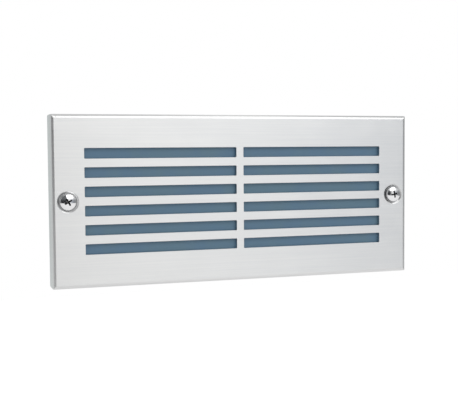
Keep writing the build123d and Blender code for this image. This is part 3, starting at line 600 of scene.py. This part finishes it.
FINISHES = (
    Finish(
        Slot.BRUSHED_STAINLESS,
        Texture.BRUSHED,
        (0.83, 0.83, 0.825),
        (0.795, 0.798, 0.80),
        metallic=1.0,
        gloss=(0.32, 0.36),
        fineness=900.0,
        relief=0.000002,
        constants={"Anisotropic": 0.85, "Anisotropic Rotation": 0.25},
    ),
    Finish(
        Slot.SCREW_STEEL,
        Texture.PAINTED_RECESS_SHADE,
        (0.92, 0.92, 0.93),
        (0.87, 0.87, 0.88),
        metallic=1.0,
        gloss=(0.09, 0.14),
        fineness=3000.0,
        patch=300.0,
        relief=0.000003,
    ),
    Finish(
        Slot.CLIP_STEEL,
        Texture.TURNED,
        (0.60, 0.60, 0.60),
        (0.52, 0.53, 0.54),
        metallic=1.0,
        gloss=(0.26, 0.36),
        fineness=2000.0,
        relief=0.000004,
    ),
    Finish(
        Slot.NYLON_WASHER,
        Texture.MOULDED,
        (0.10, 0.105, 0.11),
        (0.08, 0.085, 0.09),
        gloss=(0.42, 0.55),
        relief=0.00001,
    ),
    Finish(
        Slot.FROSTED_GLASS,
        Texture.FROSTED,
        (0.094, 0.184, 0.278),
        (0.104, 0.194, 0.262),
        gloss=(0.46, 0.54),
        fineness=1800.0,
        relief=0.000012,
        constants={"IOR": 1.5, "Coat Weight": 0.1, "Coat Roughness": 0.35},
    ),
    Finish(
        Slot.SILICONE,
        Texture.MOULDED,
        (0.60, 0.61, 0.60),
        (0.54, 0.55, 0.545),
        gloss=(0.48, 0.60),
        constants={"Subsurface Weight": 0.15, "Subsurface Scale": 0.002},
    ),
    Finish(
        Slot.FOAM,
        Texture.FOAMED,
        (0.035, 0.035, 0.035),
        (0.012, 0.012, 0.012),
        gloss=(0.85, 0.95),
        fineness=1400.0,
        relief=0.0002,
    ),
    Finish(
        Slot.CAST_ALUMINIUM,
        Texture.CAST,
        (0.54, 0.55, 0.56),
        (0.43, 0.44, 0.455),
        metallic=1.0,
        gloss=(0.46, 0.60),
        fineness=1100.0,
        patch=60.0,
        relief=0.00016,
    ),
    Finish(
        Slot.PORCELAIN,
        Texture.FIRED,
        (0.80, 0.78, 0.73),
        (0.74, 0.72, 0.67),
        gloss=(0.10, 0.18),
        fineness=500.0,
        relief=0.00001,
        constants={"Coat Weight": 0.6, "Coat Roughness": 0.06},
    ),
    Finish(
        Slot.BRASS,
        Texture.TURNED,
        (0.72, 0.50, 0.22),
        (0.60, 0.40, 0.17),
        metallic=1.0,
        gloss=(0.22, 0.34),
        relief=0.000004,
    ),
    Finish(
        Slot.PLATED_STEEL,
        Texture.TURNED,
        (0.58, 0.59, 0.60),
        (0.50, 0.51, 0.54),
        metallic=1.0,
        gloss=(0.30, 0.42),
        fineness=1200.0,
        relief=0.000006,
    ),
    Finish(
        Slot.ZINC_SCREW,
        Texture.TURNED,
        (0.62, 0.63, 0.66),
        (0.54, 0.55, 0.60),
        metallic=1.0,
        gloss=(0.18, 0.28),
        relief=0.000003,
    ),
    Finish(
        Slot.OPAL_GLASS,
        Texture.FIRED,
        (0.88, 0.88, 0.85),
        (0.84, 0.84, 0.82),
        gloss=(0.20, 0.28),
        fineness=900.0,
        relief=0.000003,
        constants={"Subsurface Weight": 0.3, "Subsurface Scale": 0.004},
    ),
    Finish(
        Slot.CAP_ALUMINIUM,
        Texture.TURNED,
        (0.74, 0.74, 0.75),
        (0.66, 0.66, 0.68),
        metallic=1.0,
        gloss=(0.24, 0.32),
        relief=0.000004,
    ),
    Finish(
        Slot.BLACK_GLASS,
        Texture.FIRED,
        (0.012, 0.012, 0.016),
        (0.02, 0.02, 0.024),
        gloss=(0.06, 0.12),
        relief=0.000004,
    ),
    Finish(
        Slot.SOLDER,
        Texture.TURNED,
        (0.52, 0.53, 0.55),
        (0.40, 0.41, 0.43),
        metallic=1.0,
        gloss=(0.26, 0.44),
        fineness=1600.0,
        relief=0.00003,
    ),
    Finish(
        Slot.WHITE_NYLON,
        Texture.MOULDED,
        (0.76, 0.75, 0.71),
        (0.70, 0.69, 0.65),
        gloss=(0.38, 0.48),
        constants={"Subsurface Weight": 0.1, "Subsurface Scale": 0.0015},
    ),
    Finish(
        Slot.BROWN_SLEEVE,
        Texture.SLEEVED,
        (0.11, 0.040, 0.018),
        (0.11, 0.040, 0.018),
        gloss=(0.34, 0.44),
        patch=60.0,
        relief=0.000008,
    ),
    Finish(
        Slot.BLUE_SLEEVE,
        Texture.SLEEVED,
        (0.020, 0.085, 0.36),
        (0.020, 0.085, 0.36),
        gloss=(0.34, 0.44),
        patch=60.0,
        relief=0.000008,
    ),
    Finish(
        Slot.GREEN_YELLOW_SLEEVE,
        Texture.SLEEVED,
        (0.055, 0.30, 0.040),
        (0.80, 0.62, 0.03),
        gloss=(0.34, 0.44),
        patch=60.0,
        relief=0.000008,
    ),
    Finish(
        Slot.GREY_NYLON,
        Texture.MOULDED,
        (0.19, 0.195, 0.21),
        (0.165, 0.17, 0.185),
        gloss=(0.42, 0.54),
        relief=0.00002,
    ),
    Finish(
        Slot.BLACK_RUBBER,
        Texture.MOULDED,
        (0.022, 0.022, 0.022),
        (0.016, 0.016, 0.016),
        gloss=(0.58, 0.72),
        relief=0.00002,
    ),
)


def finish_mesh(
    work: bmesh.types.BMesh, node: str, name: str, body: Body, material: bpy.types.Material
) -> bpy.types.Object:
    """Turn a bmesh into a piece that stands for a CAD node.

    Args:
        work: The finished shape, in metres in the CAD's frame. It is freed.
        node: The CAD node that it replaces.
        name: The piece's name.
        body: The body it rides on.
        material: That finish's material.

    Returns:
        The new object.
    """
    bmesh.ops.remove_doubles(work, verts=work.verts, dist=WELD)
    bmesh.ops.recalc_face_normals(work, faces=work.faces)
    mesh = bpy.data.meshes.new(name)
    work.to_mesh(mesh)
    work.free()
    imported = mesh.attributes.get("custom_normal")
    if imported is not None:
        mesh.attributes.remove(imported)
    mesh.shade_smooth()
    mesh.set_sharp_from_angle(angle=CREASE)
    mesh.materials.append(material)
    piece = bpy.data.objects.new(name, mesh)
    bpy.context.scene.collection.objects.link(piece)
    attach(piece, body.value)
    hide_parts(node)
    LOG.info("%s rides on %s, %d faces", name, body.value, len(mesh.polygons))
    return piece


def turn_profile(
    points: Sequence[Point], cuts: Sequence[int], centre: Point, axis: Point, steps: int
) -> bmesh.types.BMesh:
    """Turn a profile into a round wall.

    Args:
        points: The profile's corners.
        cuts: How many times each run between two corners is divided.
        centre: A point on the axis.
        axis: The axis's direction.
        steps: Facets round the wall.

    Returns:
        A bmesh that holds the wall alone.
    """
    work = bmesh.new()
    corners = [work.verts.new(point) for point in points]
    runs = [work.edges.new(pair) for pair in zip(corners, corners[1:])]
    for run, count in zip(runs, cuts):
        if count:
            bmesh.ops.subdivide_edges(work, edges=[run], cuts=count)
    line = list(work.verts) + list(work.edges)
    bmesh.ops.spin(work, geom=line, cent=centre, axis=axis, angle=FULL_TURN, steps=steps, use_merge=True)
    return work


def join(work: bmesh.types.BMesh, other: bmesh.types.BMesh) -> None:
    """Add one bmesh to another.

    Args:
        work: The bmesh that is added to.
        other: The bmesh to add. It is freed.
    """
    carrier = bpy.data.meshes.new("carrier")
    other.to_mesh(carrier)
    other.free()
    work.from_mesh(carrier)
    bpy.data.meshes.remove(carrier)


def ridge(phase: float, flat: float) -> float:
    """Give the height of a thread's flank, from 0 at the root to 1 at the crest.

    Args:
        phase: Where round the pitch, in turns.
        flat: The share of the height that the crest and the root each lose to a flat.

    Returns:
        The height.
    """
    wave = 1.0 - abs(2.0 * (phase % 1.0) - 1.0)
    return min(1.0, max(0.0, (wave - flat) / (1.0 - 2.0 * flat)))


@dataclass
class CoverScrew:
    """A cover screw with its head from the CAD and a cut thread on its shank.

    Attributes:
        node: The CAD node that it stands for.
        body: The body it rides on.
        axis_x: Where its axis crosses the X axis.
        length: From the head's underside to the tip.
        plain: How far below the head the shank stays plain.
        lap: How far the threaded shank runs into the plain one.
        crest: The thread's outer radius.
        root: The thread's inner radius.
        pitch: From crest to crest.
        point: How much the tip narrows.
        flat: The share of the thread's height that its crest and its root each lose.
        rings: Rings of faces to one pitch.
        facets: Facets round the shank.
    """

    node: str
    body: Body
    axis_x: float
    length: float = 10.0 * MM
    plain: float = 0.4 * MM
    lap: float = 0.05 * MM
    crest: float = 2.5 * MM
    root: float = 2.02 * MM
    pitch: float = 0.8 * MM
    point: float = 0.45 * MM
    flat: float = 0.15
    rings: int = 10
    facets: int = 40

    def build(self, source: bpy.types.Object, material: bpy.types.Material) -> bpy.types.Object:
        """Cut the plain shank off a copy of the CAD screw and put a threaded one on.

        Args:
            source: The CAD node's object.
            material: The screw's finish.

        Returns:
            The new screw.
        """
        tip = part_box(self.node)[1].y
        start = tip - self.length + self.plain
        work = bmesh.new()
        work.from_mesh(source.data)
        bmesh.ops.remove_doubles(work, verts=work.verts, dist=WELD)
        everything = list(work.verts) + list(work.edges) + list(work.faces)
        bmesh.ops.bisect_plane(
            work, geom=everything, plane_co=(0.0, start, 0.0), plane_no=(0.0, 1.0, 0.0), clear_outer=True
        )
        rim = [edge for edge in work.edges if edge.is_boundary]
        bmesh.ops.edgeloop_fill(work, edges=rim)
        points = [
            (self.axis_x, start - self.lap, 0.0),
            (self.axis_x + self.root, start - self.lap, 0.0),
            (self.axis_x + self.root, tip, 0.0),
            (self.axis_x, tip, 0.0),
        ]
        count = round((tip - start) / self.pitch * self.rings)
        shank = turn_profile(points, (0, count, 0), (self.axis_x, 0.0, 0.0), (0.0, 1.0, 0.0), self.facets)
        for vert in shank.verts:
            self._cut(vert, tip)
        join(work, shank)
        return finish_mesh(work, self.node, f"{self.node}_threaded", self.body, material)

    def _cut(self, vert: bmesh.types.BMVert, tip: float) -> None:
        """Move one point of the shank out to the thread's flank. Points on the axis stay.

        Args:
            vert: The point.
            tip: Where the screw ends.
        """
        across, up = vert.co.x - self.axis_x, vert.co.z
        radius = math.hypot(across, up)
        if radius < self.root / 2:
            return
        phase = vert.co.y / self.pitch + math.atan2(up, across) / FULL_TURN
        height = self.root + (self.crest - self.root) * ridge(phase, self.flat)
        limit = self.crest - self.point + (tip - vert.co.y)
        share = min(height, limit) / radius
        vert.co.x = self.axis_x + across * share
        vert.co.z = up * share


@dataclass
class RolledShell:
    """A thin metal shell with a screw-lamp thread rolled into it, on an axis along X.

    Attributes:
        node: The CAD node that it stands for.
        body: The body it rides on.
        slot: Its finish.
        rim: The x and radius of its open end.
        end: The x and radius of the far end of its thread.
        tail: The corners after the thread, as x and radius.
        sheet: The metal's thickness, inwards where it is positive.
        axis_y: Where its axis crosses the Y axis.
        thread_x: Where the rolling starts.
        pitch: From crest to crest.
        depth: From crest to root.
        run_out: How soon the thread reaches its depth at each end, in pitches.
        rings: Rings of faces to one pitch.
        rim_cuts: Cuts along the plain rim.
        tail_cuts: Cuts along each run of the tail.
        facets: Facets round the shell.
    """

    node: str
    body: Body
    slot: Slot
    rim: Pair
    end: Pair
    tail: tuple[Pair, ...]
    sheet: float
    axis_y: float = 46.0 * MM
    thread_x: float = 8.3 * MM
    pitch: float = 3.62 * MM
    depth: float = 0.9 * MM
    run_out: float = 0.5
    rings: int = 12
    rim_cuts: int = 3
    tail_cuts: int = 2
    facets: int = 72

    def build(self, material: bpy.types.Material) -> bpy.types.Object:
        """Turn the shell, roll the thread into it and give it its thickness.

        Args:
            material: Its finish.

        Returns:
            The new shell.
        """
        corners = [self.rim, (self.thread_x, self.rim[1]), self.end, *self.tail]
        points = [(x, self.axis_y + radius, 0.0) for x, radius in corners]
        count = round((self.end[0] - self.thread_x) / self.pitch * self.rings)
        cuts = (self.rim_cuts, count) + (self.tail_cuts,) * len(self.tail)
        work = turn_profile(points, cuts, (0.0, self.axis_y, 0.0), (1.0, 0.0, 0.0), self.facets)
        for vert in work.verts:
            self._roll(vert)
        bmesh.ops.recalc_face_normals(work, faces=work.faces)
        bmesh.ops.solidify(work, geom=list(work.faces), thickness=self.sheet)
        return finish_mesh(work, self.node, f"{self.node}_rolled", self.body, material)

    def _roll(self, vert: bmesh.types.BMVert) -> None:
        """Move one point of the wall to the rolled thread.

        Args:
            vert: The point.
        """
        if not self.thread_x < vert.co.x < self.end[0]:
            return
        along = (vert.co.x - self.thread_x) / self.pitch
        left = (self.end[0] - vert.co.x) / self.pitch
        fade = min(1.0, along / self.run_out, left / self.run_out)
        across, up = vert.co.y - self.axis_y, vert.co.z
        radius = math.hypot(across, up)
        phase = along - math.atan2(up, across) / FULL_TURN
        rolled = self.rim[1] - self.depth * 0.5 * (1.0 - math.cos(FULL_TURN * phase))
        share = (radius + (rolled - radius) * fade) / radius
        vert.co.y = self.axis_y + across * share
        vert.co.z = up * share


SCREWS = (
    CoverScrew("cover_screw_left", Body.LEFT_SCREW, -SCREW_X),
    CoverScrew("cover_screw_right", Body.RIGHT_SCREW, SCREW_X),
)
SHELLS = (
    RolledShell(
        "lamp_cap",
        Body.LAMP,
        Slot.CAP_ALUMINIUM,
        rim=(4.0 * MM, 13.2 * MM),
        end=(23.98 * MM, 12.3 * MM),
        tail=((28.18 * MM, 8.6 * MM),),
        sheet=0.4 * MM,
    ),
    RolledShell(
        "lampholder_shell",
        Body.BOX,
        Slot.BRASS,
        rim=(5.0 * MM, 13.65 * MM),
        end=(23.98 * MM, 12.75 * MM),
        tail=((30.5 * MM, 12.75 * MM), (30.5 * MM, 10.5 * MM)),
        sheet=-0.5 * MM,
    ),
)

ZENITH = (0.80, 0.80, 0.80)
AMBIENT_AHEAD = (1.14, 1.14, 1.14)
AMBIENT = (0.60, 0.60, 0.60)

# Where the ceiling takes over from the horizon, the zenith from the ceiling, and what lies ahead.
CEILING_RISE = (0.10, 0.42)
ZENITH_RISE = (0.75, 0.95)
AHEAD_RISE = (0.3, 0.95)

# The colours of the room round the object, in degrees to the right of the front.
CEILING = (
    (-180.0, (0.66, 0.67, 0.675)),
    (-90.0, (0.62, 0.63, 0.635)),
    (-60.0, (0.14, 0.145, 0.15)),
    (-10.0, (0.12, 0.125, 0.13)),
    (3.0, (0.74, 0.745, 0.74)),
    (14.0, (0.98, 0.985, 0.98)),
    (40.0, (0.92, 0.93, 0.93)),
    (70.0, (0.50, 0.51, 0.52)),
    (110.0, (0.50, 0.51, 0.52)),
    (180.0, (0.66, 0.67, 0.675)),
)
HORIZON = (
    (-180.0, (0.56, 0.60, 0.595)),
    (-110.0, (0.56, 0.60, 0.595)),
    (-80.0, (0.56, 0.59, 0.59)),
    (-60.0, (0.03, 0.032, 0.035)),
    (-8.0, (0.02, 0.022, 0.025)),
    (0.0, (0.40, 0.405, 0.41)),
    (8.0, (0.78, 0.785, 0.785)),
    (14.0, (0.82, 0.825, 0.82)),
    (22.0, (0.75, 0.77, 0.795)),
    (32.0, (0.42, 0.455, 0.50)),
    (42.0, (0.26, 0.28, 0.31)),
    (55.0, (0.24, 0.25, 0.26)),
    (105.0, (0.24, 0.245, 0.25)),
    (130.0, (0.38, 0.39, 0.39)),
    (180.0, (0.56, 0.60, 0.595)),
)


@dataclass(frozen=True)
class SoftBox:
    """A flat lamp that faces the object.

    Attributes:
        name: Its name.
        place: Where it hangs, in metres.
        size: Its width and height, in metres.
        power: Its power, in watts.
    """

    name: str = "soft_box"
    place: Point = (0.36, -1.02, 0.88)
    size: Pair = (1.15, 0.62)
    power: float = 3.8

    def hang(self) -> None:
        """Add the lamp to the scene."""
        data = bpy.data.lights.new(self.name, "AREA")
        data.shape = "RECTANGLE"
        data.size, data.size_y = self.size
        data.energy = self.power
        made = bpy.data.objects.new(self.name, data)
        bpy.context.scene.collection.objects.link(made)
        aim = (-Vector(self.place)).to_track_quat("-Z", "Y").to_matrix().to_4x4()
        made.matrix_world = Matrix.Translation(self.place) @ aim


@dataclass(frozen=True)
class Studio:
    """The camera, the world, the lamp and the floor.

    Attributes:
        place: Where the camera stands, in metres.
        yaw: Its turn away from the plate's normal, in degrees.
        pitch: How far it looks down, in degrees.
        roll: Its tilt, in degrees.
        lens: Its focal length, in millimetres.
        sensor: The width of its sensor, in millimetres.
        near: The nearest thing that it shows, in metres.
        floor_z: The floor's height, in metres.
        floor_size: The floor's side, in metres.
        floor_colour: The floor's own colour.
        floor_lift: The glow that only the camera sees on it.
        floor_mirrored: The glow that the camera, metal and glass see on it.
        soft_box: The lamp.
    """

    place: Point = (-0.187434, -0.549334, 0.028536)
    yaw: float = -18.5011
    pitch: float = 3.0719
    roll: float = -0.4601
    lens: float = 69.78
    sensor: float = 36.0
    near: float = 0.01
    floor_z: float = -0.30
    floor_size: float = 3.0
    floor_colour: Colour = (0.66, 0.66, 0.66)
    floor_lift: float = 0.32
    floor_mirrored: float = 0.34
    soft_box: SoftBox = SoftBox()

    def camera(self) -> None:
        """Set the camera where the photograph was taken from."""
        turn = Matrix.Rotation(math.radians(self.roll), 3, "Z")
        turn = turn @ Matrix.Rotation(math.radians(self.pitch), 3, "X")
        turn = turn @ Matrix.Rotation(math.radians(self.yaw), 3, "Y")
        right, down, ahead = (Vector((row.x, row.z, -row.y)) for row in turn)
        data = bpy.data.cameras.new("camera")
        data.lens = self.lens
        data.sensor_width = self.sensor
        data.sensor_fit = "HORIZONTAL"
        data.clip_start = self.near
        made = bpy.data.objects.new("camera", data)
        bpy.context.scene.collection.objects.link(made)
        axes = Matrix((right, -down, -ahead)).transposed().to_4x4()
        made.matrix_world = Matrix.Translation(self.place) @ axes
        bpy.context.scene.camera = made

    def world(self) -> None:
        """Light the object from all round: bright ahead and above, with a dark band at the front left."""
        world = bpy.data.worlds.new("studio")
        bpy.context.scene.world = world
        world.use_nodes = True
        world.node_tree.nodes.clear()
        sheet = Sheet(world.node_tree)
        way = sheet.split(sheet.node("ShaderNodeTexCoord").outputs["Generated"])
        front = sheet.maths("MULTIPLY", way["Y"], -1.0)
        turn = sheet.maths("ARCTAN2", way["X"], front)
        share = sheet.maths("ADD", sheet.maths("DIVIDE", turn, FULL_TURN), 0.5)
        ceiling = self._round(sheet, share, CEILING)
        above = sheet.blend(sheet.step(way["Z"], *ZENITH_RISE), ceiling, (*ZENITH, 1.0))
        horizon = self._round(sheet, share, HORIZON)
        room = sheet.blend(sheet.step(way["Z"], *CEILING_RISE), horizon, above)
        path = sheet.node("ShaderNodeLightPath")
        backdrop = sheet.blend(path.outputs["Is Camera Ray"], room, WHITE)
        ahead = sheet.step(front, *AHEAD_RISE)
        ambient = sheet.blend(ahead, (*AMBIENT, 1.0), (*AMBIENT_AHEAD, 1.0))
        light = sheet.node("ShaderNodeBackground")
        sheet.feed(light.inputs["Color"], sheet.blend(self._seen(sheet, path), ambient, backdrop))
        sheet.feed(sheet.node("ShaderNodeOutputWorld").inputs["Surface"], light.outputs[0])

    @staticmethod
    def _round(
        sheet: Sheet, share: bpy.types.NodeSocket, stops: Sequence[tuple[float, Colour]]
    ) -> bpy.types.NodeSocket:
        """Colour a band of the room by direction.

        Args:
            sheet: The tree to work in.
            share: The direction, from 0 to 1 round the room.
            stops: Each direction in degrees to the right of the front, with its colour.

        Returns:
            The band's colour.
        """
        ramp = sheet.node("ShaderNodeValToRGB")
        sheet.feed(ramp.inputs[0], share)
        band = ramp.color_ramp
        band.elements.remove(band.elements[1])
        for index, (degrees, colour) in enumerate(stops):
            position = degrees / 360.0 + 0.5
            stop = band.elements[0] if index == 0 else band.elements.new(position)
            stop.position = position
            stop.color = (*colour, 1.0)
        return ramp.outputs[0]

    @staticmethod
    def _seen(sheet: Sheet, path: bpy.types.Node) -> bpy.types.NodeSocket:
        """Pick the rays that look at a surface: the camera's and those that metal and glass send on.

        Args:
            sheet: The tree to work in.
            path: Its Light Path node.

        Returns:
            1 for those rays, otherwise 0.
        """
        rays = path.outputs
        mirrored = sheet.maths("MAXIMUM", rays["Is Glossy Ray"], rays["Is Transmission Ray"])
        return sheet.maths("MAXIMUM", rays["Is Camera Ray"], mirrored)

    def floor(self) -> None:
        """Lay a pale floor that looks white to the camera and keeps a shadow."""
        made = bpy.data.materials.new("floor")
        made.use_nodes = True
        made.node_tree.nodes.clear()
        sheet = Sheet(made.node_tree)
        matt = sheet.node("ShaderNodeBsdfDiffuse")
        matt.inputs["Color"].default_value = (*self.floor_colour, 1.0)
        lift = sheet.node("ShaderNodeEmission")
        path = sheet.node("ShaderNodeLightPath")
        camera = sheet.maths("MULTIPLY", path.outputs["Is Camera Ray"], self.floor_lift)
        mirrored = sheet.maths("MULTIPLY", self._seen(sheet, path), self.floor_mirrored)
        sheet.feed(lift.inputs["Strength"], sheet.maths("ADD", camera, mirrored))
        both = sheet.node("ShaderNodeAddShader")
        sheet.feed(both.inputs[0], matt.outputs[0])
        sheet.feed(both.inputs[1], lift.outputs[0])
        sheet.feed(sheet.node("ShaderNodeOutputMaterial").inputs["Surface"], both.outputs[0])
        work = bmesh.new()
        bmesh.ops.create_grid(work, x_segments=1, y_segments=1, size=self.floor_size / 2)
        bmesh.ops.translate(work, verts=work.verts, vec=(0.0, 0.0, self.floor_z))
        mesh = bpy.data.meshes.new("floor")
        work.to_mesh(mesh)
        work.free()
        mesh.materials.append(made)
        piece = bpy.data.objects.new("floor", mesh)
        bpy.context.scene.collection.objects.link(piece)

    def build(self) -> None:
        """Set up the camera, the light and the floor."""
        self.camera()
        self.world()
        self.soft_box.hang()
        self.floor()


@dataclass
class Dresser:
    """Gives each CAD node the material of its slot.

    Attributes:
        effects: The shared node groups.
        materials: Each finish's material, by its slot.
    """

    frame: dict[str, Any]
    effects: Effects = field(default_factory=Effects)
    materials: dict[str, bpy.types.Material] = field(default_factory=dict)

    def fit_threads(self) -> None:
        """Build the threaded pieces, each in place of its plain CAD node."""
        for screw in SCREWS:
            screw.build(self.frame["nodes"][screw.node], self.materials[Slot.SCREW_STEEL.value])
        for shell in SHELLS:
            shell.build(self.materials[shell.slot.value])

    def dress(self) -> None:
        """Build every finish and put it on the nodes that the record gives it to."""
        for finish in FINISHES:
            self.materials[finish.slot.value] = finish.material(self.effects)
        for part in self.frame["record"]["subparts"]:
            piece = self.frame["nodes"][part["node"]]
            piece.data.materials.clear()
            piece.data.materials.append(self.materials[part["material_slot"]])
            LOG.info("%s has the finish %s", part["node"], part["material_slot"])


def main() -> None:
    """Load the frame, dress it and set up the studio."""
    logging.basicConfig(level=logging.INFO, format="%(name)s: %(message)s")
    bpy.context.scene.view_settings.view_transform = "Standard"
    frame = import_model()
    Studio().build()
    dresser = Dresser(frame)
    dresser.dress()
    dresser.fit_threads()


if __name__ == "__main__":
    main()
